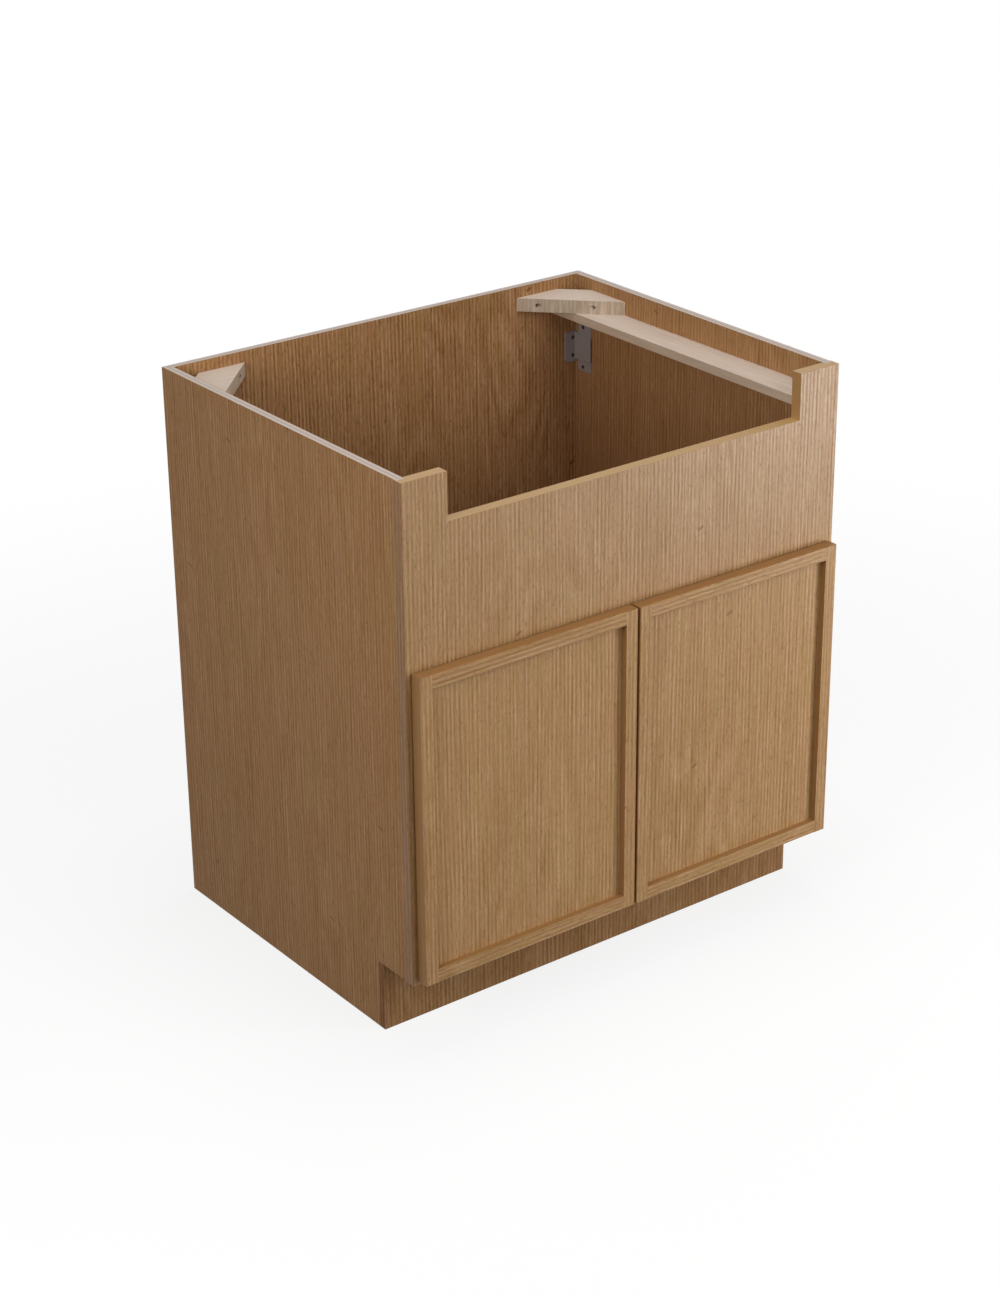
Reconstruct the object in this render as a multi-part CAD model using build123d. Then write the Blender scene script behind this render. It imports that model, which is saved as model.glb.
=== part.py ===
from build123d import *
from math import hypot
import os

# Sizes in mm. x runs to the right seen from the front, y to the wall, z up from the floor.
# The origin is on the floor, in the middle of the width and of the whole depth.

# Cabinet
cabinet_width = 787.4
cabinet_height = 876.3
box_depth = 609.6  # front face of the front panel to the wall
side_thickness = 14.0
back_thickness = 12.0
floor_thickness = 14.0
front_thickness = 18.5
front_overhang = 1.5  # front panel past each side panel
housing_depth = 6.3  # groove and rebate in the back of the front panel
dado_depth = 6.0  # groove in each side panel for the floor
rebate_width = 6.5  # at the rear edge of each side panel, for the back panel

# Toe recess
toe_height = 110.0
toe_recess = 76.2
toe_board_thickness = 12.0

# Apron notch and door opening in the front panel
ear_width = 75.0
notch_depth = 71.6
lower_rail_height = 38.1
door_top_overlay = 25.8
door_side_overlay = 12.7

# Doors
door_side_reveal = 8.6  # front panel left showing beside each door
door_gap = 4.2
door_bottom_reveal = 6.5
door_height = 482.6
door_thickness = 19.05
door_stand_off = 2.0
member_width = 21.0
recess_depth = 9.5
panel_housing = 8.0
panel_play = 0.5
tenon_length = 8.0
tenon_thickness = 5.0
tenon_inset = 2.3
tenon_shoulder = 3.0
edge_ease = 0.8
bumper_radius = 4.0
bumper_inset = 12.0

# Sink rails and corner blocks
rail_width = 55.6
rail_thickness = 14.0
rail_below_top = 54.0  # underside of the rail to the cabinet's top
block_thickness = 22.0
block_cut = 40.0  # corner cut off square beside the panels' own corner
block_along_back = 121.5
block_along_side = 125.0
pocket_along_back = 97.0
pocket_along_side = 87.7
pocket_radius = 3.4
pocket_stop = 12.0  # wood left under the screw head

# Corner brackets
bracket_sheet = 2.5
bracket_back_width = 24.0
bracket_height = 82.0
bracket_below_rail = 23.3
bracket_step_from_end = 16.0  # raised part of the side leg, from the lower end
bracket_step_height = 46.0
bracket_back_from_end = 12.3  # back leg, from the lower end of the side leg
bracket_back_height = 52.2
bracket_side_width = 42.5
bracket_tab_from_back = 9.3
bracket_step = 2.0
bracket_low_corner = 6.0
bracket_high_corner = 1.5
bracket_notch = 4.0
bracket_back_hole_in = 8.1  # from the side panel
bracket_back_hole_from_end = 11.0
bracket_back_hole_spacing = 30.4
bracket_side_hole_in = 21.8  # from the back panel
bracket_low_hole_from_end = 6.6
bracket_high_hole_from_end = 7.9
bracket_screw_length = 14.0

# Hinges: a narrow mortised cup with one pin, and a gooseneck arm on a plate in the opening
hinge_from_door_end = 80.0
pin_from_edge = 5.4
pin_from_back = 8.0
pin_radius = 1.2
running_gap = 0.05
eye_radius = 2.2
arm_thickness = 1.6
arm_half_width = 7.0
arm_dip = (7.0, -1.8)
arm_turn = 10.2
arm_reach = 25.0
cup_wall = 0.7
cup_gap_at_eye = 0.2
cup_gap_at_turn = 0.4
cup_gap_at_dip = 0.3
cup_half_hollow = 7.8
cup_half_length = 9.8
cup_wing_length = 14.0
cup_wing_thickness = 1.0
cup_wing_corner = 4.0
cup_screw_from_middle = 16.8
cup_screw_length = 12.0
plate_half_length = 22.0
plate_corner = 3.0
plate_margin = 0.6
plate_screw_from_middle = 15.0
plate_screw_length = 16.0
arm_screw_from_front = 9.0
arm_screw_length = 3.4

# Screws
screw_shank_radius = 1.7
screw_head_radius = 3.4
screw_head_height = 2.4
screw_sides = 12
machine_head_height = 1.8
pocket_screw_length = 22.0
cross_width = 0.9
cross_depth = 1.1
cross_span = 4.0

# Planes that several pieces meet on
whole_depth = door_thickness + door_stand_off + box_depth
front_y = -whole_depth / 2 + door_thickness + door_stand_off
back_y = front_y + box_depth
front_back_y = front_y + front_thickness
housing_y = front_back_y - housing_depth
wall_y = back_y - back_thickness
half_width = cabinet_width / 2
side_outer = half_width - front_overhang
side_inner = side_outer - side_thickness
floor_top = toe_height + lower_rail_height
floor_bottom = floor_top - floor_thickness
toe_y = front_y + toe_recess
door_outer = half_width - door_side_reveal
door_inner = door_gap / 2
door_bottom = toe_height + door_bottom_reveal
door_top = door_bottom + door_height
door_back_y = front_y - door_stand_off
door_front_y = door_back_y - door_thickness
opening_half = door_outer - door_side_overlay
opening_top = door_top - door_top_overlay
rail_bottom = cabinet_height - rail_below_top
rail_top = rail_bottom + rail_thickness
block_top = rail_top + block_thickness
bracket_high = rail_bottom - bracket_below_rail
bracket_low = bracket_high - bracket_height
step_low = bracket_low + bracket_step_from_end
back_leg_low = bracket_low + bracket_back_from_end
back_leg_high = back_leg_low + bracket_back_height
pin_x = -(door_outer - pin_from_edge)
pin_y = door_back_y - pin_from_back
hinge_heights = (door_bottom + hinge_from_door_end, door_top - hinge_from_door_end)


def block(x, y, z):
    """A box between two values on each axis."""
    corner = Align.MIN
    size = Box(x[1] - x[0], y[1] - y[0], z[1] - z[0], align=(corner, corner, corner))
    return Pos(x[0], y[0], z[0]) * size


def mirrored(shape):
    return mirror(shape, about=Plane.YZ)


def prism(points, low, high):
    """A plan outline raised from one height to another."""
    outline = make_face(Polyline(*points, close=True))
    return Pos(0, 0, low) * extrude(outline, high - low)


def standing_cylinder(radius, height):
    return Cylinder(radius, height, align=(Align.CENTER, Align.CENTER, Align.MIN))


def facing(shape, point, outward):
    """Puts a shape drawn about +Z at a point, with +Z turned outward."""
    return Plane(origin=point, z_dir=outward) * shape


def screw(length):
    """A countersunk wood screw with its head's top at z 0 and its end below."""
    rim = RegularPolygon(screw_head_radius, screw_sides)
    neck = Pos(0, 0, -screw_head_height) * RegularPolygon(screw_shank_radius, screw_sides)
    head = ConvexPolyhedron([corner.center() for corner in rim.vertices() + neck.vertices()])
    return head + extrude(neck, screw_head_height - length)


def machine_screw(length):
    """A short flat-ended screw whose head sits on z 0."""
    head = extrude(RegularPolygon(screw_head_radius, screw_sides), machine_head_height)
    return head + extrude(RegularPolygon(screw_shank_radius, screw_sides), -length)


def crossed(body):
    """Cuts the cross recess in a screw's head."""
    top = body.bounding_box().max.Z
    half = cross_span / 2
    bar = block((-half, half), (-cross_width / 2, cross_width / 2), (top - cross_depth, top))
    return body - bar - Rot(0, 0, 90) * bar


# Where each screw enters: the middle of its head's seat, and the way the head faces
to_room = (0, -1, 0)
to_wall = (0, 1, 0)
to_right = (1, 0, 0)
pocket_z = (rail_top + block_top) / 2
pocket_back = (-(side_inner - pocket_along_back), wall_y - pocket_stop, pocket_z)
pocket_side = (-(side_inner - pocket_stop), wall_y - pocket_along_side, pocket_z)
block_screw_places = ((pocket_back, to_room), (pocket_side, to_right))
bracket_back_x = -(side_inner - bracket_back_hole_in)
bracket_side_x = -(side_inner - bracket_sheet)
bracket_side_y = wall_y - bracket_side_hole_in
back_hole_z = back_leg_low + bracket_back_hole_from_end
bracket_screw_places = (
    ((bracket_back_x, wall_y - bracket_sheet, back_hole_z), to_room),
    ((bracket_back_x, wall_y - bracket_sheet, back_hole_z + bracket_back_hole_spacing), to_room),
    ((bracket_side_x, bracket_side_y, bracket_low + bracket_low_hole_from_end), to_right),
    ((bracket_side_x, bracket_side_y, bracket_high - bracket_high_hole_from_end), to_right),
)
cup_screw_x = pin_x + arm_turn / 2
plate_x = pin_x + arm_turn - arm_thickness / 2
plate_screw_y = front_y + front_thickness / 2
arm_screw_y = front_y + arm_screw_from_front


def either_end(distance):
    """Heights of two screws, above and below the middle of each hinge."""
    return [height + side * distance for height in hinge_heights for side in (-1, 1)]


cup_screw_places = [
    ((cup_screw_x, door_back_y + cup_wing_thickness, z), to_wall) for z in either_end(cup_screw_from_middle)
]
plate_screw_places = [((plate_x, plate_screw_y, z), to_right) for z in either_end(plate_screw_from_middle)]
arm_screw_places = [((plate_x + arm_thickness, arm_screw_y, z), to_right) for z in hinge_heights]


def screws(body, places):
    return [facing(body, *place) for place in places]


def both_sides(solids):
    return solids + [mirrored(solid) for solid in solids]


def side_panel():
    """Left side: toe notch, dado for the floor, rebate for the back."""
    outer, inner = -side_outer, -side_inner
    panel = block((outer, inner), (housing_y, back_y), (0, cabinet_height))
    panel -= block((outer, inner), (housing_y, toe_y + toe_board_thickness), (0, toe_height))
    panel -= block((inner - dado_depth, inner), (housing_y, wall_y), (floor_bottom, floor_top))
    panel -= block((inner - rebate_width, inner), (wall_y, back_y), (0, cabinet_height))
    return panel


def back_panel():
    reach = side_inner + rebate_width
    return block((-reach, reach), (wall_y, back_y), (0, cabinet_height))


def floor_panel():
    reach = side_inner + dado_depth
    return block((-reach, reach), (housing_y, wall_y), (floor_bottom, floor_top))


def front_panel():
    """One board: apron notch above, door opening below, housings in its back."""
    board = (front_y, front_back_y)
    panel = block((-half_width, half_width), board, (toe_height, cabinet_height))
    notch_half = half_width - ear_width
    panel -= block((-notch_half, notch_half), board, (cabinet_height - notch_depth, cabinet_height))
    panel -= block((-opening_half, opening_half), board, (floor_top, opening_top))
    housing = (housing_y, front_back_y)
    for side in (-1, 1):
        groove = sorted((side * side_inner, side * side_outer))
        panel -= block(groove, housing, (toe_height, cabinet_height))
    panel -= block((-side_inner, side_inner), housing, (floor_bottom, floor_top))
    return panel


def toe_board():
    return block((-side_outer, side_outer), (toe_y, toe_y + toe_board_thickness), (0, toe_height))


def sink_rail():
    inner = -side_inner
    return block((inner, inner + rail_width), (front_back_y, wall_y), (rail_bottom, rail_top))


def corner_block():
    """Left block: a quadrilateral with its slanted face to the room, and two screw pockets."""
    inner = -side_inner
    outline = (
        (inner + block_cut, wall_y),
        (inner + block_along_back, wall_y),
        (inner, wall_y - block_along_side),
        (inner, wall_y - block_cut),
    )
    body = prism(outline, rail_top, block_top)
    for place in block_screw_places:
        body -= facing(standing_cylinder(pocket_radius, block_along_back), *place)
    return body


def corner_bracket():
    """Left bracket: a pressed angle whose side leg steps out between two screw tabs."""
    inner = -side_inner
    back_leg = block(
        (inner, inner + bracket_back_width),
        (wall_y - bracket_sheet, wall_y),
        (back_leg_low, back_leg_high),
    )
    far = back_leg.edges().filter_by(Axis.Y).group_by(Axis.X)[-1].sort_by(Axis.Z)
    back_leg = chamfer(far[0], bracket_low_corner)
    far = back_leg.edges().filter_by(Axis.Y).group_by(Axis.X)[-1].sort_by(Axis.Z)
    back_leg = chamfer(far[-1], bracket_high_corner)
    front = wall_y - bracket_side_width
    tabs = block(
        (inner, inner + bracket_sheet),
        (front, wall_y - bracket_tab_from_back),
        (bracket_low, bracket_high),
    )
    step_z = (step_low, step_low + bracket_step_height)
    raised = block((inner, inner + bracket_sheet + bracket_step), (front, wall_y), step_z)
    near = raised.edges().filter_by(Axis.X).group_by(Axis.Y)[0]
    raised = chamfer(near, bracket_notch)
    ledges = raised.edges().filter_by(Axis.Y).group_by(Axis.X)[-1]
    raised = chamfer(ledges, bracket_step)
    hollow = block(
        (inner, inner + bracket_step),
        (front, wall_y - bracket_sheet),
        (step_z[0] + bracket_sheet, step_z[1] - bracket_sheet),
    )
    body = (tabs + raised - hollow) + back_leg
    for hole in screws(screw(bracket_screw_length), bracket_screw_places):
        body -= hole
    return body


left_door_x = (-door_outer, -door_inner)
frame_x = (left_door_x[0] + member_width, left_door_x[1] - member_width)
frame_z = (door_bottom + member_width, door_top - member_width)
panel_x = (frame_x[0] - panel_housing, frame_x[1] + panel_housing)
panel_z = (frame_z[0] - panel_housing, frame_z[1] + panel_housing)
panel_y = (door_front_y + recess_depth, door_back_y)


def cup_mortise(height):
    """The pocket that the hinge cup fills in the door's back."""
    x, low_y = cup_outer_x(), cup_floor_y() - cup_wall
    return block(x, (low_y, door_back_y), (height - cup_half_length, height + cup_half_length))


def cup_outer_x():
    outer = pin_x - eye_radius - cup_gap_at_eye - cup_wall
    inner = pin_x + arm_turn + arm_thickness / 2 + cup_gap_at_turn + cup_wall
    return (outer, inner)


def cup_floor_y():
    return pin_y + arm_dip[1] - arm_thickness / 2 - cup_gap_at_dip


def tenon(x, rail_z):
    z = (rail_z[0] + tenon_shoulder, rail_z[1] - tenon_shoulder)
    y = (door_front_y + tenon_inset, door_front_y + tenon_inset + tenon_thickness)
    return block(x, y, z)


rail_heights = ((door_bottom, frame_z[0]), (frame_z[1], door_top))


def door_stile(x, mortise_x, hinged):
    """Full-height stile: panel rebate, mortises for the rails, eased front edge."""
    stile = block(x, (door_front_y, door_back_y), (door_bottom, door_top))
    stile -= block(panel_x, panel_y, panel_z)
    for rail_z in rail_heights:
        stile -= tenon(mortise_x, rail_z)
    if hinged:
        for height in hinge_heights:
            stile -= cup_mortise(height)
    outer_edge = x[0] if hinged else x[1]
    edges = stile.edges().filter_by(Axis.Z)
    edges = edges.filter_by_position(Axis.X, outer_edge - 0.1, outer_edge + 0.1)
    return chamfer(edges.group_by(Axis.Y)[0], edge_ease)


def door_rail(rail_z):
    """Rail between the stiles, with a stub tenon at each end."""
    rail = block(frame_x, (door_front_y, door_back_y), rail_z)
    rail -= block(panel_x, panel_y, panel_z)
    outer = rail_z[0] if rail_z[0] == door_bottom else rail_z[1]
    edges = rail.edges().filter_by(Axis.X).filter_by_position(Axis.Z, outer - 0.1, outer + 0.1)
    rail = chamfer(edges.group_by(Axis.Y)[0], edge_ease)
    for end in ((frame_x[0] - tenon_length, frame_x[0]), (frame_x[1], frame_x[1] + tenon_length)):
        rail += tenon(end, rail_z)
    return rail


def door_panel():
    x = (panel_x[0] + panel_play, panel_x[1] - panel_play)
    z = (panel_z[0] + panel_play, panel_z[1] - panel_play)
    panel = block(x, panel_y, z)
    for height in hinge_heights:
        panel -= cup_mortise(height)
    return panel


def door_bumpers():
    """Round pads at the free corners of the door's back."""
    x = left_door_x[1] - bumper_inset
    pads = []
    for z in (door_bottom + bumper_inset, door_top - bumper_inset):
        pad = standing_cylinder(bumper_radius, door_stand_off)
        pads.append(facing(pad, (x, door_back_y, z), to_wall))
    return pads


def ribbon(points, thickness):
    """Outline of a sheet bent along a line of points, with mitred corners."""
    sides = [[], []]
    for index, (x, y) in enumerate(points):
        before = points[max(index - 1, 0)]
        after = points[min(index + 1, len(points) - 1)]
        into = ((x - before[0]), (y - before[1])) if index else ((after[0] - x), (after[1] - y))
        out = ((after[0] - x), (after[1] - y)) if index < len(points) - 1 else into
        a, b = hypot(*into), hypot(*out)
        tangent = (into[0] / a + out[0] / b, into[1] / a + out[1] / b)
        length = hypot(*tangent)
        spread = thickness / length
        for side, sign in zip(sides, (1, -1)):
            side.append((x - sign * tangent[1] / length * spread, y + sign * tangent[0] / length * spread))
    return sides[0] + sides[1][::-1]


def hinge_arm(height):
    """Gooseneck: an eye round the pin, a dip that clears the cup's lip, and a leg on the plate."""
    line = (
        (pin_x, pin_y),
        (pin_x + arm_dip[0], pin_y + arm_dip[1]),
        (pin_x + arm_turn, pin_y),
        (pin_x + arm_turn, pin_y + arm_reach),
    )
    low, high = height - arm_half_width, height + arm_half_width
    body = prism(ribbon(line, arm_thickness), low, high)
    body += Pos(pin_x, pin_y, height) * Cylinder(eye_radius, 2 * arm_half_width)
    body -= Pos(pin_x, pin_y, height) * Cylinder(pin_radius + running_gap, 2 * arm_half_width)
    for hole in screws(machine_screw(arm_screw_length), arm_screw_places):
        body -= hole
    return body


def hinge_plate(height):
    x = (-opening_half, plate_x)
    y = (front_y + plate_margin, front_back_y - plate_margin)
    plate = block(x, y, (height - plate_half_length, height + plate_half_length))
    corners = plate.edges().filter_by(Axis.X)
    plate = fillet(corners, plate_corner)
    holes = screws(screw(plate_screw_length), plate_screw_places)
    holes += screws(machine_screw(arm_screw_length), arm_screw_places)
    for hole in holes:
        plate -= hole
    return plate


def hinge_cup(height):
    """Narrow cup: walls round the arm's hollow, and a screw wing above and below."""
    x, low_y = cup_outer_x(), cup_floor_y()
    outer = block(x, (low_y - cup_wall, door_back_y), (height - cup_half_length, height + cup_half_length))
    hollow_x = (x[0] + cup_wall, x[1] - cup_wall)
    hollow_z = (height - cup_half_hollow, height + cup_half_hollow)
    wing_length = cup_half_length + cup_wing_length
    wing_y = (door_back_y, door_back_y + cup_wing_thickness)
    wing = block(x, wing_y, (height - wing_length, height + wing_length))
    wing = fillet(wing.edges().filter_by(Axis.Y), cup_wing_corner)
    body = outer + wing
    body -= block(hollow_x, (low_y, wing_y[1]), hollow_z)
    body -= block((x[0], hollow_x[0]), wing_y, hollow_z)
    body -= Pos(pin_x, pin_y, height) * Cylinder(pin_radius, 2 * cup_half_length)
    for hole in screws(screw(cup_screw_length), cup_screw_places):
        body -= hole
    return body


def hinge_pins():
    pin = Cylinder(pin_radius, 2 * cup_half_length)
    return [Pos(pin_x, pin_y, height) * pin for height in hinge_heights]


def save(name, shape):
    solids = shape if isinstance(shape, list) else [shape]
    solids = [solid for item in solids for solid in item.solids()]
    node = solids[0] if len(solids) == 1 else Compound(children=solids)
    node.label = name
    export_step(node, f"parts/{name}.step")


def save_pair(name, shape):
    """Saves a left piece and its mirror image on the right."""
    solids = shape if isinstance(shape, list) else [shape]
    save(f"{name}_left", solids)
    save(f"{name}_right", [mirrored(solid) for solid in solids])


os.makedirs("parts", exist_ok=True)

# Carcass
save_pair("side_panel", side_panel())
save("back_panel", back_panel())
save("floor_panel", floor_panel())
save("front_panel", front_panel())
save("toe_kick_board", toe_board())
save_pair("sink_rail", sink_rail())
save_pair("corner_block", corner_block())
save_pair("corner_bracket", corner_bracket())
block_screws = screws(crossed(screw(pocket_screw_length)), block_screw_places)
save("corner_block_screws", both_sides(block_screws))
bracket_screws = screws(crossed(screw(bracket_screw_length)), bracket_screw_places)
save("corner_bracket_screws", both_sides(bracket_screws))

# Doors
outer_stile_x = (left_door_x[0], frame_x[0])
inner_stile_x = (frame_x[1], left_door_x[1])
save_pair("door_hinge_stile", door_stile(outer_stile_x, (frame_x[0] - tenon_length, frame_x[0]), True))
save_pair("door_free_stile", door_stile(inner_stile_x, (frame_x[1], frame_x[1] + tenon_length), False))
save_pair("door_bottom_rail", door_rail(rail_heights[0]))
save_pair("door_top_rail", door_rail(rail_heights[1]))
save_pair("door_panel", door_panel())
save_pair("door_bumpers", door_bumpers())

# Hinges
for place, height in zip(("lower", "upper"), hinge_heights):
    save_pair(f"hinge_cup_{place}", hinge_cup(height))
    save_pair(f"hinge_arm_{place}", hinge_arm(height))
    save_pair(f"hinge_plate_{place}", hinge_plate(height))
save_pair("hinge_pins", hinge_pins())
save_pair("hinge_cup_screws", screws(crossed(screw(cup_screw_length)), cup_screw_places))
save_pair("hinge_plate_screws", screws(crossed(screw(plate_screw_length)), plate_screw_places))
save_pair("hinge_arm_screws", screws(crossed(machine_screw(arm_screw_length)), arm_screw_places))
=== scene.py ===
import math

import bpy
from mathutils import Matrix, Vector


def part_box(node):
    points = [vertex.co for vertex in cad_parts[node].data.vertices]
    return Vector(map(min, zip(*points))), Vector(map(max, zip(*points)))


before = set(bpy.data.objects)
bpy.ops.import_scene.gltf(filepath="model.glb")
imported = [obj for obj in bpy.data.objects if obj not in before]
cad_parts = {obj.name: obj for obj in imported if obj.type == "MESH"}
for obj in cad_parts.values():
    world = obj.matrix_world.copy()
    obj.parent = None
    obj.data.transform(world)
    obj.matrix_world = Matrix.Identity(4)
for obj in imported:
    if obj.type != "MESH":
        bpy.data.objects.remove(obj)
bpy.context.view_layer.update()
print("frame loaded:", len(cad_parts), "nodes")


# sRGB hex to the linear values that Blender's sockets take
def linearColour(hexColour):
    channels = [int(hexColour[i:i + 2], 16) / 255 for i in (1, 3, 5)]
    linear = [c / 12.92 if c <= 0.04045 else ((c + 0.055) / 1.055) ** 2.4 for c in channels]
    return (*linear, 1.0)


# Adds one node: its settings, its socket values or links, and a ramp's stops where it has them
def addNode(tree, kind, inputs=None, stops=None, **settings):
    node = tree.nodes.new(kind)
    for name, value in settings.items():
        setattr(node, name, value)
    for socket, value in (inputs or {}).items():
        if isinstance(value, bpy.types.NodeSocket):
            tree.links.new(value, node.inputs[socket])
        else:
            node.inputs[socket].default_value = value
    if stops:
        elements = node.color_ramp.elements
        while len(elements) < len(stops):
            elements.new(0.5)
        for element, (position, hexColour) in zip(elements, stops):
            element.position = position
            element.color = linearColour(hexColour)
    return node


def newMaterial(name):
    material = bpy.data.materials.new(name)
    material.use_nodes = True
    material.node_tree.nodes.clear()
    return material, material.node_tree


mm = 0.001
axisIndex = {"x": 0, "y": 1, "z": 2}


# Oak: sliced white oak veneer and solid oak, stained medium brown under satin lacquer.
# Straight rift grain: even early-wood lines, broken streaks, short open pores,
# a few faint arches and pin knots.
oakGrain = {
    "pieceShift": (3.7, 5.3, 7.1),  # each piece is cut from another part of the pattern
    "lineSpacing": 7.1 * mm,  # from one early-wood line to the next
    "lineBend": 14.0,  # sideways drift of the lines, in radians of their wave
    "lineStrength": (0.06, 0.22),  # where the lines fade out, and where they stand
    "fadeRange": (0.35, 0.65),  # ranges are grey values of the noise that steers them
    "bendWidth": 60.0 * mm,
    "bendLength": 620.0 * mm,
    "fadeWidth": 10.0 * mm,
    "fadeLength": 110.0 * mm,
    "streakWidth": 3.4 * mm,
    "streakLength": 105.0 * mm,
    "streakShare": 0.62,
    "fineWidth": 2.0 * mm,  # the real lines are under 1 mm; drawn coarser so that they show
    "fineLength": 17.0 * mm,
    "fineShare": 0.6,
    "poreWidth": 1.6 * mm,  # real pores are 0.3 mm wide; drawn coarser so that they show
    "poreLength": 9.0 * mm,
    "poreShare": 0.5,
    "poreRange": (0.4, 0.3),
    "archSpacing": 11.0 * mm,
    "archWidth": 120.0 * mm,
    "archLength": 420.0 * mm,
    "archShare": 0.09,
    "archRange": (0.5, 0.68),
    "hueWidth": 9.0 * mm,
    "hueLength": 150.0 * mm,
    "hueShare": 0.55,
    "pinkRange": (0.5, 0.66),
    "oliveRange": (0.5, 0.34),
    "toneWidth": 34.0 * mm,
    "toneLength": 300.0 * mm,
    "toneShare": 0.22,
    "knotEvery": 290.0 * mm,
    "knotLength": 15.0 * mm,
    "knotThickness": 3.2 * mm,
    "knotShare": 0.8,
    "knotEdge": (1.0, 0.4),  # shares of the knot's half size
}

oakColours = {
    "dark": "#865F30",
    "middle": "#A47E53",
    "light": "#BD9A73",
    "pink": "#A67D56",
    "olive": "#A1804E",
    "pore": "#67472A",
    "knot": "#6E4D2C",
}


# Colour and height of oak whose grain runs along one axis; strength scales its contrast
def oakFigure(tree, grainAxis, colours, strength):
    where = addNode(tree, "ShaderNodeTexCoord").outputs["Object"]
    piece = addNode(tree, "ShaderNodeObjectInfo").outputs["Random"]
    shift = addNode(
        tree, "ShaderNodeVectorMath", {0: piece, 1: oakGrain["pieceShift"]}, operation="MULTIPLY"
    ).outputs[0]
    where = addNode(tree, "ShaderNodeVectorMath", {0: where, 1: shift}, operation="ADD").outputs[0]
    along = addNode(tree, "ShaderNodeSeparateXYZ", {0: where}).outputs[axisIndex[grainAxis]]
    flat = [1.0, 1.0, 1.0]
    flat[axisIndex[grainAxis]] = 0.0
    cross = addNode(
        tree, "ShaderNodeVectorMath", {0: where, 1: flat}, operation="DOT_PRODUCT"
    ).outputs["Value"]

    # noise drawn out along the grain: its colour and its grey value
    def drawnOut(part, detail):
        scale = [1 / oakGrain[part + "Width"]] * 3
        scale[axisIndex[grainAxis]] = 1 / oakGrain[part + "Length"]
        place = addNode(
            tree, "ShaderNodeVectorMath", {0: where, 1: scale}, operation="MULTIPLY"
        ).outputs[0]
        return addNode(
            tree, "ShaderNodeTexNoise", {"Vector": place, "Scale": 1.0, "Detail": detail}
        ).outputs

    # early-wood lines: even bands across the grain, bent a little and fading in and out
    bend = addNode(tree, "ShaderNodeSeparateXYZ", {0: drawnOut("bend", 2.0)["Color"]}).outputs
    turns = addNode(
        tree, "ShaderNodeMath", {0: cross, 1: 2 * math.pi / oakGrain["lineSpacing"]},
        operation="MULTIPLY",
    ).outputs[0]
    turns = addNode(
        tree, "ShaderNodeMath", {0: bend[0], 1: oakGrain["lineBend"], 2: turns},
        operation="MULTIPLY_ADD",
    ).outputs[0]
    lines = addNode(tree, "ShaderNodeMath", {0: turns}, operation="SINE").outputs[0]
    low, high = oakGrain["fadeRange"]
    faint, full = oakGrain["lineStrength"]
    fade = addNode(
        tree, "ShaderNodeMapRange",
        {"Value": drawnOut("fade", 1.0)["Fac"], "From Min": low, "From Max": high,
         "To Min": faint * strength, "To Max": full * strength},
    ).outputs["Result"]
    total = addNode(
        tree, "ShaderNodeMath", {0: lines, 1: fade, 2: 0.5}, operation="MULTIPLY_ADD"
    ).outputs[0]

    # streaks and fine lines, added up about 0.5
    for part in ("streak", "fine"):
        share = oakGrain[part + "Share"] * strength
        grey = addNode(
            tree, "ShaderNodeMath", {0: drawnOut(part, 2.0)["Fac"], 1: 0.5}, operation="SUBTRACT"
        ).outputs[0]
        total = addNode(
            tree, "ShaderNodeMath", {0: grey, 1: share, 2: total}, operation="MULTIPLY_ADD"
        ).outputs[0]

    # faint arches where the cut runs flat to the rings
    arch = addNode(tree, "ShaderNodeSeparateXYZ", {0: drawnOut("arch", 1.0)["Color"]}).outputs
    turnsAcross = 2 * math.pi * oakGrain["archWidth"] / oakGrain["archSpacing"]
    rings = addNode(
        tree, "ShaderNodeMath", {0: arch[0], 1: turnsAcross}, operation="MULTIPLY"
    ).outputs[0]
    rings = addNode(tree, "ShaderNodeMath", {0: rings}, operation="SINE").outputs[0]
    low, high = oakGrain["archRange"]
    flatCut = addNode(
        tree, "ShaderNodeMapRange",
        {"Value": arch[1], "From Min": low, "From Max": high,
         "To Min": 0.0, "To Max": oakGrain["archShare"] * strength},
    ).outputs["Result"]
    total = addNode(
        tree, "ShaderNodeMath", {0: rings, 1: flatCut, 2: total}, operation="MULTIPLY_ADD"
    ).outputs[0]

    # broad lighter and darker parts
    tone = addNode(
        tree, "ShaderNodeMath", {0: drawnOut("tone", 2.0)["Fac"], 1: 0.5}, operation="SUBTRACT"
    ).outputs[0]
    total = addNode(
        tree, "ShaderNodeMath", {0: tone, 1: oakGrain["toneShare"] * strength, 2: total},
        operation="MULTIPLY_ADD",
    ).outputs[0]
    colour = addNode(
        tree, "ShaderNodeValToRGB", {"Fac": total},
        stops=[(0.2, colours["dark"]), (0.5, colours["middle"]), (0.8, colours["light"])],
    ).outputs["Color"]

    # pinker and greener streaks beside each other
    hue = drawnOut("hue", 2.0)["Fac"]
    for target in ("pink", "olive"):
        low, high = oakGrain[target + "Range"]
        share = addNode(
            tree, "ShaderNodeMapRange",
            {"Value": hue, "From Min": low, "From Max": high,
             "To Min": 0.0, "To Max": oakGrain["hueShare"]},
        ).outputs["Result"]
        toward = linearColour(colours[target])
        colour = addNode(
            tree, "ShaderNodeMix", {"Factor": share, "A": colour, "B": toward}, data_type="RGBA"
        ).outputs["Result"]

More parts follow.
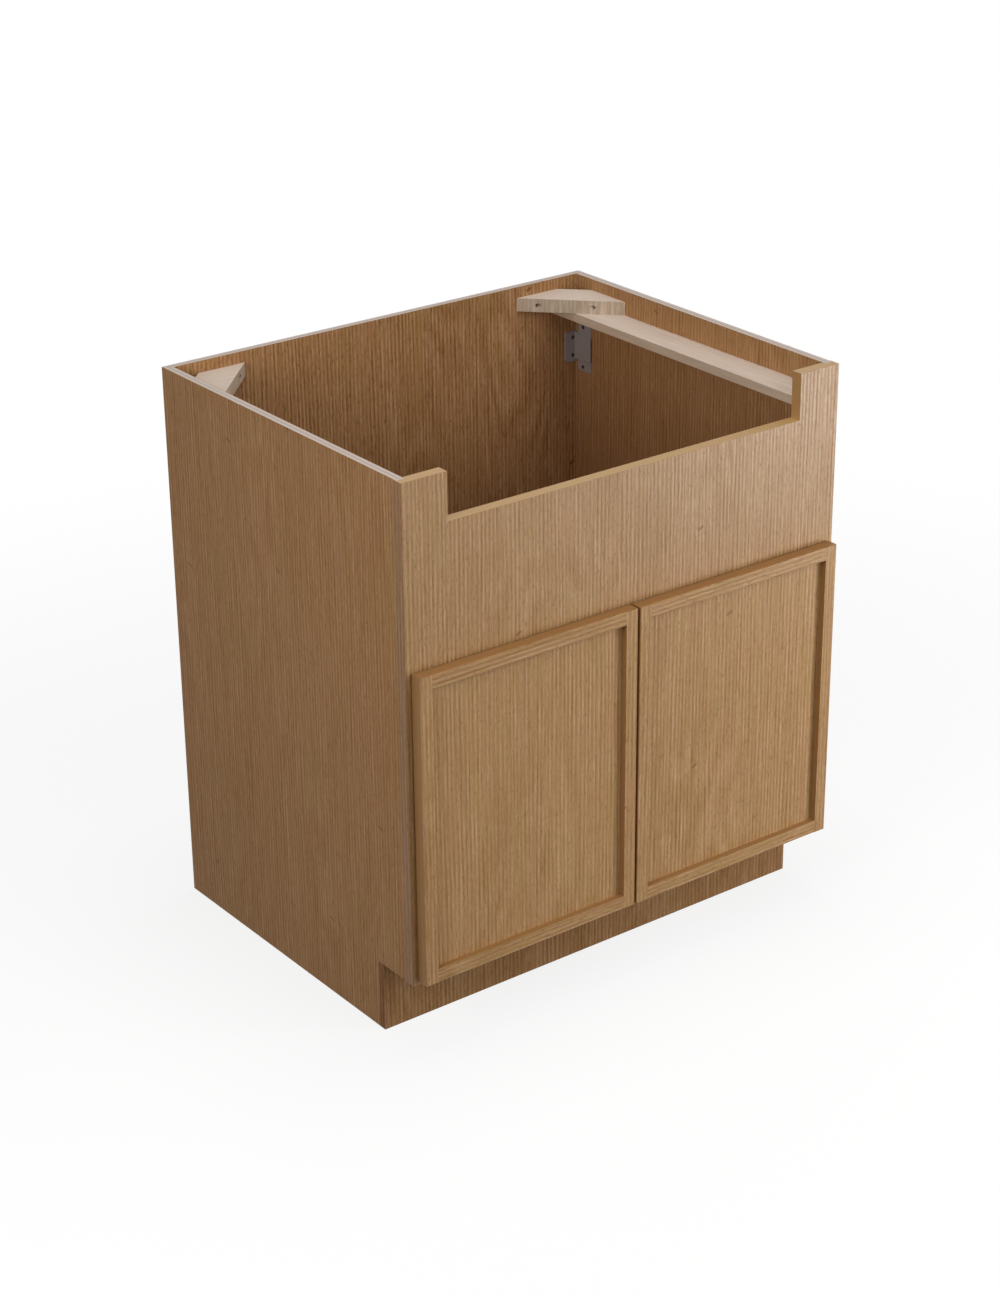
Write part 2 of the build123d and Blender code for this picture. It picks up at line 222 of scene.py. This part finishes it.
    # pores, and pin knots: short curled dark dashes, one here and there
    low, high = oakGrain["poreRange"]
    pores = addNode(
        tree, "ShaderNodeMapRange",
        {"Value": drawnOut("pore", 1.0)["Fac"], "From Min": low, "From Max": high,
         "To Min": 0.0, "To Max": oakGrain["poreShare"] * strength},
    ).outputs["Result"]
    colour = addNode(
        tree, "ShaderNodeMix", {"Factor": pores, "A": colour, "B": linearColour(colours["pore"])},
        data_type="RGBA",
    ).outputs["Result"]
    sheet = addNode(tree, "ShaderNodeCombineXYZ", {0: cross, 1: along}).outputs[0]
    nearest = addNode(
        tree, "ShaderNodeTexVoronoi", {"Vector": sheet, "Scale": 1 / oakGrain["knotEvery"]},
        voronoi_dimensions="2D",
    ).outputs["Position"]
    fromKnot = addNode(
        tree, "ShaderNodeVectorMath", {0: sheet, 1: nearest}, operation="SUBTRACT"
    ).outputs[0]
    fromKnot = addNode(tree, "ShaderNodeSeparateXYZ", {0: fromKnot}).outputs
    curl = addNode(
        tree, "ShaderNodeMath", {0: fromKnot[0], 1: 2 * math.pi / oakGrain["knotLength"]},
        operation="MULTIPLY",
    ).outputs[0]
    curl = addNode(tree, "ShaderNodeMath", {0: curl}, operation="SINE").outputs[0]
    curl = addNode(
        tree, "ShaderNodeMath", {0: curl, 1: -0.5 * oakGrain["knotThickness"], 2: fromKnot[1]},
        operation="MULTIPLY_ADD",
    ).outputs[0]
    knot = addNode(tree, "ShaderNodeCombineXYZ", {0: fromKnot[0], 1: curl}).outputs[0]
    knot = addNode(
        tree, "ShaderNodeVectorMath",
        {0: knot, 1: (2 / oakGrain["knotLength"], 1 / oakGrain["knotThickness"], 0.0)},
        operation="MULTIPLY",
    ).outputs[0]
    knot = addNode(tree, "ShaderNodeVectorMath", {0: knot}, operation="LENGTH").outputs["Value"]
    low, high = oakGrain["knotEdge"]
    knot = addNode(
        tree, "ShaderNodeMapRange",
        {"Value": knot, "From Min": low, "From Max": high,
         "To Min": 0.0, "To Max": oakGrain["knotShare"] * strength},
    ).outputs["Result"]
    colour = addNode(
        tree, "ShaderNodeMix", {"Factor": knot, "A": colour, "B": linearColour(colours["knot"])},
        data_type="RGBA",
    ).outputs["Result"]
    height = addNode(tree, "ShaderNodeMath", {0: total, 1: pores}, operation="SUBTRACT").outputs[0]
    return colour, height


# 1 on faces that look along the axis, 0 on the others
def facesAlong(tree, axis):
    normal = addNode(tree, "ShaderNodeTexCoord").outputs["Normal"]
    along = addNode(tree, "ShaderNodeSeparateXYZ", {0: normal}).outputs[axisIndex[axis]]
    size = addNode(tree, "ShaderNodeMath", {0: along}, operation="ABSOLUTE").outputs[0]
    return addNode(tree, "ShaderNodeMath", {0: size, 1: 0.7}, operation="GREATER_THAN").outputs[0]


# Clear lacquer: the pores stay duller than the wood between them
lacquer = {
    "easing": 0.7 * mm, "bump": 0.35, "depth": 0.25 * mm, "ior": 1.5,
    "poreDulls": 0.08, "woodShines": 0.04,
}
satinLacquer = {**lacquer, "rough": 0.38, "gloss": 0.23}  # doors
frontLacquer = {**lacquer, "rough": 0.38, "gloss": 0.3}  # front board, a little more sheen
mattLacquer = {**lacquer, "rough": 0.45, "gloss": 0.06}  # ply sheets and toe board, hardly any


# Eased arrises: the bevel's normal rounds the light over each edge
def finishOak(tree, colour, height, finish):
    eased = addNode(tree, "ShaderNodeBevel", {"Radius": finish["easing"]}, samples=4).outputs[0]
    bump = addNode(
        tree, "ShaderNodeBump",
        {"Strength": finish["bump"], "Distance": finish["depth"],
         "Height": height, "Normal": eased},
    ).outputs[0]
    rough = addNode(
        tree, "ShaderNodeMapRange",
        {"Value": height, "From Min": 0.2, "From Max": 0.8,
         "To Min": finish["rough"] + finish["poreDulls"],
         "To Max": finish["rough"] - finish["woodShines"]},
    ).outputs["Result"]
    shader = addNode(
        tree, "ShaderNodeBsdfPrincipled",
        {"Base Color": colour, "Roughness": rough, "IOR": finish["ior"],
         "Specular IOR Level": finish["gloss"], "Normal": bump},
    ).outputs[0]
    addNode(tree, "ShaderNodeOutputMaterial", {"Surface": shader})


# Veneered plywood: oak on the two faces, pale plies round the rim
plyOak = {
    "dark": "#865B30", "middle": "#A57A51", "light": "#BE9770",
    "pink": "#A57954", "olive": "#A17C4E", "pore": "#67472A", "knot": "#6E4D2C",
}
plyRim = {
    "line": "#A99C93", "lineTo": 0.2,  # shares of the half thickness, from the middle out
    "ply": "#BBADA3", "plyFrom": 0.42, "plyTo": 0.86,
    "veneer": "#8F6B49", "veneerFrom": 0.93,
    "fleckScale": 900.0, "fleck": 0.03,  # flecks of about 1.1 mm
}


def veneeredPly(name, grainAxis, thicknessAxis, middle, thickness, strength):
    material, tree = newMaterial(name)
    colour, height = oakFigure(tree, grainAxis, plyOak, strength)
    where = addNode(tree, "ShaderNodeTexCoord").outputs["Object"]
    place = addNode(tree, "ShaderNodeSeparateXYZ", {0: where}).outputs[axisIndex[thicknessAxis]]
    # distance from the sheet's middle, the same on a left and a right panel
    place = addNode(tree, "ShaderNodeMath", {0: place}, operation="ABSOLUTE").outputs[0]
    depth = addNode(tree, "ShaderNodeMath", {0: place, 1: middle}, operation="SUBTRACT").outputs[0]
    depth = addNode(tree, "ShaderNodeMath", {0: depth}, operation="ABSOLUTE").outputs[0]
    share = addNode(
        tree, "ShaderNodeMath", {0: depth, 1: thickness / 2}, operation="DIVIDE"
    ).outputs[0]
    rim = addNode(
        tree, "ShaderNodeValToRGB", {"Fac": share},
        stops=[(0.0, plyRim["line"]), (plyRim["lineTo"], plyRim["line"]),
               (plyRim["plyFrom"], plyRim["ply"]), (plyRim["plyTo"], plyRim["ply"]),
               (plyRim["veneerFrom"], plyRim["veneer"])],
    ).outputs["Color"]
    fleck = addNode(
        tree, "ShaderNodeTexNoise", {"Vector": where, "Scale": plyRim["fleckScale"], "Detail": 2.0}
    ).outputs["Fac"]
    fleck = addNode(
        tree, "ShaderNodeMapRange",
        {"Value": fleck, "From Min": 0.3, "From Max": 0.7,
         "To Min": 1 - plyRim["fleck"], "To Max": 1 + plyRim["fleck"]},
    ).outputs["Result"]
    rim = addNode(tree, "ShaderNodeVectorMath", {0: rim, 1: fleck}, operation="MULTIPLY").outputs[0]
    onFace = facesAlong(tree, thicknessAxis)
    colour = addNode(
        tree, "ShaderNodeMix", {"Factor": onFace, "A": rim, "B": colour}, data_type="RGBA"
    ).outputs["Result"]
    finishOak(tree, colour, height, mattLacquer)
    return material


# The front board shows more sheen than the doors, over a slightly deeper stain
frontColours = {
    "dark": "#825C2F", "middle": "#9F7A51", "light": "#B79570",
    "pink": "#A17953", "olive": "#9C7C4C", "pore": "#67472A", "knot": "#6E4D2C",
}

# The toe board's veneer is drawn a little darker: painted shade for the shade it sits in under the
# doors
toeShadedColours = {
    "dark": "#775328", "middle": "#926C47", "light": "#A98664",
    "pink": "#956B4D", "olive": "#8F6E45", "pore": "#5B3E24", "knot": "#624425",
}

# Board with its edges closed by a smooth oak band, paler and yellower than the faces
bandColours = {
    "dark": "#947142", "middle": "#A78352", "light": "#B4915C",
    "pink": "#A88053", "olive": "#A48450", "pore": "#88683E", "knot": "#88683E",
}
bandLook = {
    "strength": 0.3,
    "upright": "#BF8F5C", "uprightShare": 0.6,  # the strips up the notch are redder
    "outerPaintedShade": "#E0D0B8", "outerWithin": 0.2 * mm,  # painted shade on the board's outer edges, against their pale grazing sheen
}


def bandedBoard(name, halfWidth, colours, finish):
    material, tree = newMaterial(name)
    colour, height = oakFigure(tree, "z", colours, 1.0)
    band, bandHeight = oakFigure(tree, "x", bandColours, bandLook["strength"])
    onFace = facesAlong(tree, "y")
    # the outer upright edges carry face veneer too, drawn darker there as painted shade that
    # offsets their pale grazing sheen
    where = addNode(tree, "ShaderNodeTexCoord").outputs["Object"]
    place = addNode(tree, "ShaderNodeSeparateXYZ", {0: where}).outputs["X"]
    place = addNode(tree, "ShaderNodeMath", {0: place}, operation="ABSOLUTE").outputs[0]
    outside = addNode(
        tree, "ShaderNodeMath", {0: place, 1: halfWidth - bandLook["outerWithin"]},
        operation="GREATER_THAN",
    ).outputs[0]
    upright = facesAlong(tree, "x")
    outside = addNode(
        tree, "ShaderNodeMath", {0: outside, 1: upright}, operation="MULTIPLY"
    ).outputs[0]
    warm = addNode(
        tree, "ShaderNodeMath", {0: upright, 1: bandLook["uprightShare"]}, operation="MULTIPLY"
    ).outputs[0]
    band = addNode(
        tree, "ShaderNodeMix", {"Factor": warm, "A": band, "B": linearColour(bandLook["upright"])},
        data_type="RGBA",
    ).outputs["Result"]
    # painted shade: the outer upright edges are multiplied darker
    colour = addNode(
        tree, "ShaderNodeMix",
        {"Factor": outside, "A": colour, "B": linearColour(bandLook["outerPaintedShade"])},
        data_type="RGBA", blend_type="MULTIPLY",
    ).outputs["Result"]
    onFace = addNode(
        tree, "ShaderNodeMath", {0: onFace, 1: outside}, operation="MAXIMUM"
    ).outputs[0]
    colour = addNode(
        tree, "ShaderNodeMix", {"Factor": onFace, "A": band, "B": colour}, data_type="RGBA"
    ).outputs["Result"]
    height = addNode(
        tree, "ShaderNodeMix", {"Factor": onFace, "A": bandHeight, "B": height}, data_type="FLOAT"
    ).outputs["Result"]
    finishOak(tree, colour, height, finish)
    return material


# Solid oak members of the doors: open grain on the front, close quiet grain on the edges
edgeColours = {
    "dark": "#8C6338", "middle": "#9A7043", "light": "#A77F50",
    "pink": "#9C6F47", "olive": "#977141", "pore": "#7A5730", "knot": "#7A5730",
}
doorStrength = {"front": 0.9, "edge": 0.35}  # contrast of the grain


def solidOak(name, grainAxis):
    material, tree = newMaterial(name)
    colour, height = oakFigure(tree, grainAxis, oakColours, doorStrength["front"])
    edge, edgeHeight = oakFigure(tree, grainAxis, edgeColours, doorStrength["edge"])
    onFace = facesAlong(tree, "y")
    colour = addNode(
        tree, "ShaderNodeMix", {"Factor": onFace, "A": edge, "B": colour}, data_type="RGBA"
    ).outputs["Result"]
    height = addNode(
        tree, "ShaderNodeMix", {"Factor": onFace, "A": edgeHeight, "B": height}, data_type="FLOAT"
    ).outputs["Result"]
    finishOak(tree, colour, height, satinLacquer)
    return material


# Birch: planed solid birch, bare, very pale with a soft fine grain
birchLook = {
    "dark": "#B8A696", "middle": "#C1AF9F", "light": "#C8B8A8",
    "lineWidth": 2.6 * mm, "lineLength": 90.0 * mm,
    "endDark": "#A5917C", "endMiddle": "#B39E88", "endLight": "#C2AF9A",
    "ringWidth": 6.0 * mm, "ringHeight": 45.0 * mm,
    "side": "#FFF8EC",  # the rails' sawn sides are warmer than their tops
    "rough": 0.62, "ior": 1.45, "bump": 0.2, "depth": 0.2 * mm, "easing": 0.8 * mm,
}


# The grain runs along the piece; a block cut across its corner shows end grain on its upright faces
def planedBirch(name, grainAxis, cutAcross):
    material, tree = newMaterial(name)
    where = addNode(tree, "ShaderNodeTexCoord").outputs["Object"]
    scale = [1 / birchLook["lineWidth"]] * 3
    scale[axisIndex[grainAxis]] = 1 / birchLook["lineLength"]
    place = addNode(
        tree, "ShaderNodeVectorMath", {0: where, 1: scale}, operation="MULTIPLY"
    ).outputs[0]
    grain = addNode(
        tree, "ShaderNodeTexNoise", {"Vector": place, "Scale": 1.0, "Detail": 3.0, "Roughness": 0.6}
    ).outputs["Fac"]
    colour = addNode(
        tree, "ShaderNodeValToRGB", {"Fac": grain},
        stops=[(0.3, birchLook["dark"]), (0.5, birchLook["middle"]), (0.7, birchLook["light"])],
    ).outputs["Color"]
    if cutAcross:
        parts = addNode(tree, "ShaderNodeSeparateXYZ", {0: where}).outputs
        aside = addNode(tree, "ShaderNodeMath", {0: parts["X"]}, operation="ABSOLUTE").outputs[0]
        aside = addNode(
            tree, "ShaderNodeMath", {0: aside, 1: parts["Y"]}, operation="SUBTRACT"
        ).outputs[0]
        place = addNode(tree, "ShaderNodeCombineXYZ", {0: aside, 1: parts["Z"]}).outputs[0]
        place = addNode(
            tree, "ShaderNodeVectorMath",
            {0: place, 1: (1 / birchLook["ringWidth"], 1 / birchLook["ringHeight"], 1.0)},
            operation="MULTIPLY",
        ).outputs[0]
        rings = addNode(
            tree, "ShaderNodeTexNoise",
            {"Vector": place, "Scale": 1.0, "Detail": 3.0, "Distortion": 0.6},
        ).outputs["Fac"]
        ends = addNode(
            tree, "ShaderNodeValToRGB", {"Fac": rings},
            stops=[(0.32, birchLook["endDark"]), (0.5, birchLook["endMiddle"]),
                   (0.66, birchLook["endLight"])],
        ).outputs["Color"]
        colour = addNode(
            tree, "ShaderNodeMix", {"Factor": facesAlong(tree, "z"), "A": ends, "B": colour},
            data_type="RGBA",
        ).outputs["Result"]
    else:
        colour = addNode(
            tree, "ShaderNodeMix",
            {"Factor": facesAlong(tree, "x"), "A": colour, "B": linearColour(birchLook["side"])},
            data_type="RGBA", blend_type="MULTIPLY",
        ).outputs["Result"]
    eased = addNode(tree, "ShaderNodeBevel", {"Radius": birchLook["easing"]}, samples=4).outputs[0]
    bump = addNode(
        tree, "ShaderNodeBump",
        {"Strength": birchLook["bump"], "Distance": birchLook["depth"],
         "Height": grain, "Normal": eased},
    ).outputs[0]
    shader = addNode(
        tree, "ShaderNodeBsdfPrincipled",
        {"Base Color": colour, "Roughness": birchLook["rough"], "IOR": birchLook["ior"],
         "Normal": bump},
    ).outputs[0]
    addNode(tree, "ShaderNodeOutputMaterial", {"Surface": shader})
    return material


# Metals and small parts: one colour each, with a fine surface texture
textureLook = {"depth": 0.1 * mm, "brighter": 0.05, "duller": 0.07}


def fineFinish(name, look):
    material, tree = newMaterial(name)
    where = addNode(tree, "ShaderNodeTexCoord").outputs["Object"]
    texture = addNode(
        tree, "ShaderNodeTexNoise",
        {"Vector": where, "Scale": 1 / look["grit"], "Detail": 3.0, "Roughness": 0.6},
    ).outputs["Fac"]
    colour = addNode(
        tree, "ShaderNodeValToRGB", {"Fac": texture},
        stops=[(0.3, look["dark"]), (0.7, look["light"])],
    ).outputs["Color"]
    rough = addNode(
        tree, "ShaderNodeMapRange",
        {"Value": texture, "From Min": 0.3, "From Max": 0.7,
         "To Min": look["rough"] - textureLook["brighter"],
         "To Max": look["rough"] + textureLook["duller"]},
    ).outputs["Result"]
    eased = addNode(tree, "ShaderNodeBevel", {"Radius": look["easing"]}, samples=4).outputs[0]
    bump = addNode(
        tree, "ShaderNodeBump",
        {"Strength": look["bump"], "Distance": textureLook["depth"],
         "Height": texture, "Normal": eased},
    ).outputs[0]
    shader = addNode(
        tree, "ShaderNodeBsdfPrincipled",
        {"Base Color": colour, "Metallic": look["metallic"], "Roughness": rough, "Normal": bump,
         "Transmission Weight": look.get("clear", 0.0)},
    ).outputs[0]
    addNode(tree, "ShaderNodeOutputMaterial", {"Surface": shader})
    return material


# Powder-coated pressed steel: a fine even orange peel, no shine
bracketLook = {
    "dark": "#8E8582", "light": "#9C928F", "metallic": 0.0, "rough": 0.5,
    "grit": 1.2 * mm, "bump": 0.15, "easing": 0.5 * mm,
}
# Nickel-plated pressed steel: soft mirror, slightly warm
nickelLook = {
    "dark": "#B9B6B0", "light": "#CBC8C2", "metallic": 1.0, "rough": 0.24,
    "grit": 0.9 * mm, "bump": 0.03, "easing": 0.3 * mm,
}
# Drawn steel pin: bright, a little duller than the nickel
pinLook = {
    "dark": "#A9A9A8", "light": "#BDBDBC", "metallic": 1.0, "rough": 0.3,
    "grit": 0.7 * mm, "bump": 0.05, "easing": 0.1 * mm,
}
# Black-phosphated screw steel: dull dark grey with a mottled bloom
screwLook = {
    "dark": "#45403D", "light": "#5A5450", "metallic": 0.6, "rough": 0.5,
    "grit": 0.8 * mm, "bump": 0.1, "easing": 0.2 * mm,
}
# Zinc-plated pocket screws: pale and a little dull, so that the pockets stay light
zincLook = {
    "dark": "#B5AFA3", "light": "#CBC5B8", "metallic": 0.8, "rough": 0.45,
    "grit": 0.8 * mm, "bump": 0.05, "easing": 0.2 * mm,
}
# Clear moulded polyurethane dot: lets the wood show through
bumperLook = {
    "dark": "#D8D8D4", "light": "#E4E4E0", "metallic": 0.0, "rough": 0.3,
    "grit": 1.5 * mm, "bump": 0.05, "easing": 0.5 * mm, "clear": 0.7,
}

# The ply sheets: how far the middle lies from the frame's zero, and how strongly the grain shows
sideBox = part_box("side_panel_left")
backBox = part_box("back_panel")
sidePly = {
    "middle": -(sideBox[0].x + sideBox[1].x) / 2,
    "thickness": sideBox[1].x - sideBox[0].x,
    "strength": 0.74,
}
backPly = {
    "middle": (backBox[0].y + backBox[1].y) / 2,
    "thickness": backBox[1].y - backBox[0].y,
    "strength": 1.15,
}
floorPly = {"middle": 141.1 * mm, "thickness": 14.0 * mm, "strength": 0.85}
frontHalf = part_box("front_panel")[1].x
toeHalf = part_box("toe_kick_board")[1].x

materials = {
    "side": veneeredPly("oakVeneeredPlySide", "z", "x", **sidePly),
    "back": veneeredPly("oakVeneeredPlyBack", "z", "y", **backPly),
    "floor": veneeredPly("oakVeneeredPlyFloor", "x", "z", **floorPly),
    "front": bandedBoard("oakVeneeredFrontBoard", frontHalf, frontColours, frontLacquer),
    # the toe board takes the darker colours, painted shade under the doors
    "toe": bandedBoard("oakVeneeredToeBoard", toeHalf, toeShadedColours, mattLacquer),
    "doorUpright": solidOak("solidOakUpright", "z"),
    "doorCross": solidOak("solidOakCross", "x"),
    "birchLong": planedBirch("planedBirchRail", "y", False),
    "birchBlock": planedBirch("planedBirchBlock", "x", True),
    "bracket": fineFinish("powderCoatedSteel", bracketLook),
    "nickel": fineFinish("nickelPlatedSteel", nickelLook),
    "pin": fineFinish("drawnSteelPin", pinLook),
    "screw": fineFinish("phosphatedScrewSteel", screwLook),
    "pocketScrew": fineFinish("zincPlatedScrewSteel", zincLook),
    "bumper": fineFinish("clearPolyurethane", bumperLook),
}
print("materials made:", len(materials))


# Which finish each node takes, by the start of its name; the first match counts
finishByName = [
    ("side_panel", "side"),
    ("back_panel", "back"),
    ("floor_panel", "floor"),
    ("front_panel", "front"),
    ("toe_kick_board", "toe"),
    ("sink_rail", "birchLong"),
    ("corner_block_screws", "pocketScrew"),
    ("corner_block", "birchBlock"),
    ("corner_bracket_screws", "screw"),
    ("corner_bracket", "bracket"),
    ("door_hinge_stile", "doorUpright"),
    ("door_free_stile", "doorUpright"),
    ("door_panel", "doorUpright"),
    ("door_bottom_rail", "doorCross"),
    ("door_top_rail", "doorCross"),
    ("door_bumpers", "bumper"),
    ("hinge_pins", "pin"),
    ("hinge_cup_screws", "screw"),
    ("hinge_plate_screws", "screw"),
    ("hinge_arm_screws", "screw"),
    ("hinge_", "nickel"),
]
for nodeName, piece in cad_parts.items():
    finish = next(finish for start, finish in finishByName if nodeName.startswith(start))
    piece.data.materials.clear()
    piece.data.materials.append(materials[finish])
print("nodes finished:", len(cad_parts))


# Floor and world: a plain studio that ends in white
studio = {
    "floorSize": 60.0,
    "floorDrop": 0.5 * mm,  # keeps the floor just under the object's feet
    "floorColour": "#2C2C2C",  # what the object's undersides see
    "shadowColour": "#F4F4F4",
    "shadowShare": 0.18,
    "shadowFades": (0.7, 2.2),  # metres from the object's middle
    "white": "#FFFFFF",
    "worldStrength": 0.34,
}


# 1 for the camera's rays and for the other kinds named, which then see the plain white too
def seenBy(tree, *kinds):
    light = addNode(tree, "ShaderNodeLightPath").outputs
    seen = light["Is Camera Ray"]
    for kind in kinds:
        seen = addNode(
            tree, "ShaderNodeMath", {0: seen, 1: light[kind]}, operation="MAXIMUM"
        ).outputs[0]
    return seen


def makeFloor():
    bpy.ops.mesh.primitive_grid_add(x_subdivisions=4, y_subdivisions=4, size=studio["floorSize"])
    floor = bpy.context.object
    floor.name = "studioFloor"
    floor.location = (0, 0, -studio["floorDrop"])
    material, tree = newMaterial("matPaperFloor")
    ground = linearColour(studio["floorColour"])
    shade = linearColour(studio["shadowColour"])
    white = linearColour(studio["white"])
    plain = addNode(tree, "ShaderNodeBsdfDiffuse", {"Color": ground}).outputs[0]
    shadowed = addNode(tree, "ShaderNodeBsdfDiffuse", {"Color": shade}).outputs[0]
    glow = addNode(tree, "ShaderNodeEmission", {"Color": white, "Strength": 1.0}).outputs[0]
    # the shadow's share fades with the distance, so that the floor ends in plain white
    where = addNode(tree, "ShaderNodeTexCoord").outputs["Object"]
    away = addNode(tree, "ShaderNodeVectorMath", {0: where}, operation="LENGTH").outputs["Value"]
    near, far = studio["shadowFades"]
    share = addNode(
        tree, "ShaderNodeMapRange",
        {"Value": away, "From Min": near, "From Max": far,
         "To Min": studio["shadowShare"], "To Max": 0.0},
        interpolation_type="SMOOTHSTEP",
    ).outputs["Result"]
    shown = addNode(tree, "ShaderNodeMixShader", {0: share, 1: glow, 2: shadowed}).outputs[0]
    seen = seenBy(tree, "Is Glossy Ray", "Is Transmission Ray")
    both = addNode(tree, "ShaderNodeMixShader", {0: seen, 1: plain, 2: shown}).outputs[0]
    addNode(tree, "ShaderNodeOutputMaterial", {"Surface": both})
    floor.data.materials.append(material)


def makeWorld():
    world = bpy.data.worlds.new("studioWorld")
    world.use_nodes = True
    tree = world.node_tree
    tree.nodes.clear()
    white = linearColour(studio["white"])
    lit = addNode(
        tree, "ShaderNodeBackground", {"Color": white, "Strength": studio["worldStrength"]}
    ).outputs[0]
    shown = addNode(tree, "ShaderNodeBackground", {"Color": white, "Strength": 1.0}).outputs[0]
    seen = seenBy(tree, "Is Glossy Ray")
    both = addNode(tree, "ShaderNodeMixShader", {0: seen, 1: lit, 2: shown}).outputs[0]
    addNode(tree, "ShaderNodeOutputWorld", {"Surface": both})
    bpy.context.scene.world = world


# Soft boxes: where each stands, what it points at, its size in metres and its power in watts
lamps = {
    "lowRight": {"at": (1.65, -1.75, 0.42), "aim": (0.1, -0.3, 0.6), "size": 0.75, "watts": 28},
    "highRight": {"at": (0.45, -2.6, 2.0), "aim": (0.0, -0.2, 0.6), "size": 1.6, "watts": 24.5},
    "left": {"at": (-2.2, -0.9, 1.5), "aim": (-0.39, 0.0, 0.6), "size": 1.0, "watts": 22},
    "top": {"at": (0.1, 0.0, 3.4), "aim": (0.1, 0.0, 0.0), "size": 1.0, "watts": 34},
}


def makeLamps():
    for name, look in lamps.items():
        data = bpy.data.lights.new(name, "AREA")
        data.shape = "SQUARE"
        data.size = look["size"]
        data.energy = look["watts"]
        lamp = bpy.data.objects.new(name, data)
        bpy.context.scene.collection.objects.link(lamp)
        lamp.location = look["at"]
        lamp.visible_camera = False
        toward = [a - b for a, b in zip(look["aim"], look["at"])]
        flat = math.hypot(toward[0], toward[1])
        lamp.rotation_euler = (math.atan2(flat, -toward[2]), 0, math.atan2(-toward[0], toward[1]))


makeFloor()
makeWorld()
makeLamps()
print("studio lit by", len(lamps), "soft boxes")

# Camera at the photograph's place: metres, degrees, and millimetres for the lens and the sensor
cameraLook = {
    "at": (-2.30939, -3.05066, 2.16288),
    "turn": (65.5213, 0.4953, -37.2094),
    "lens": 75.902,
    "sensor": 36.0,
}
cameraData = bpy.data.cameras.new("photoCamera")
cameraData.lens = cameraLook["lens"]
cameraData.sensor_width = cameraLook["sensor"]
camera = bpy.data.objects.new("photoCamera", cameraData)
bpy.context.scene.collection.objects.link(camera)
camera.location = cameraLook["at"]
camera.rotation_euler = [math.radians(a) for a in cameraLook["turn"]]
bpy.context.scene.camera = camera

bpy.context.scene.view_settings.view_transform = "Standard"
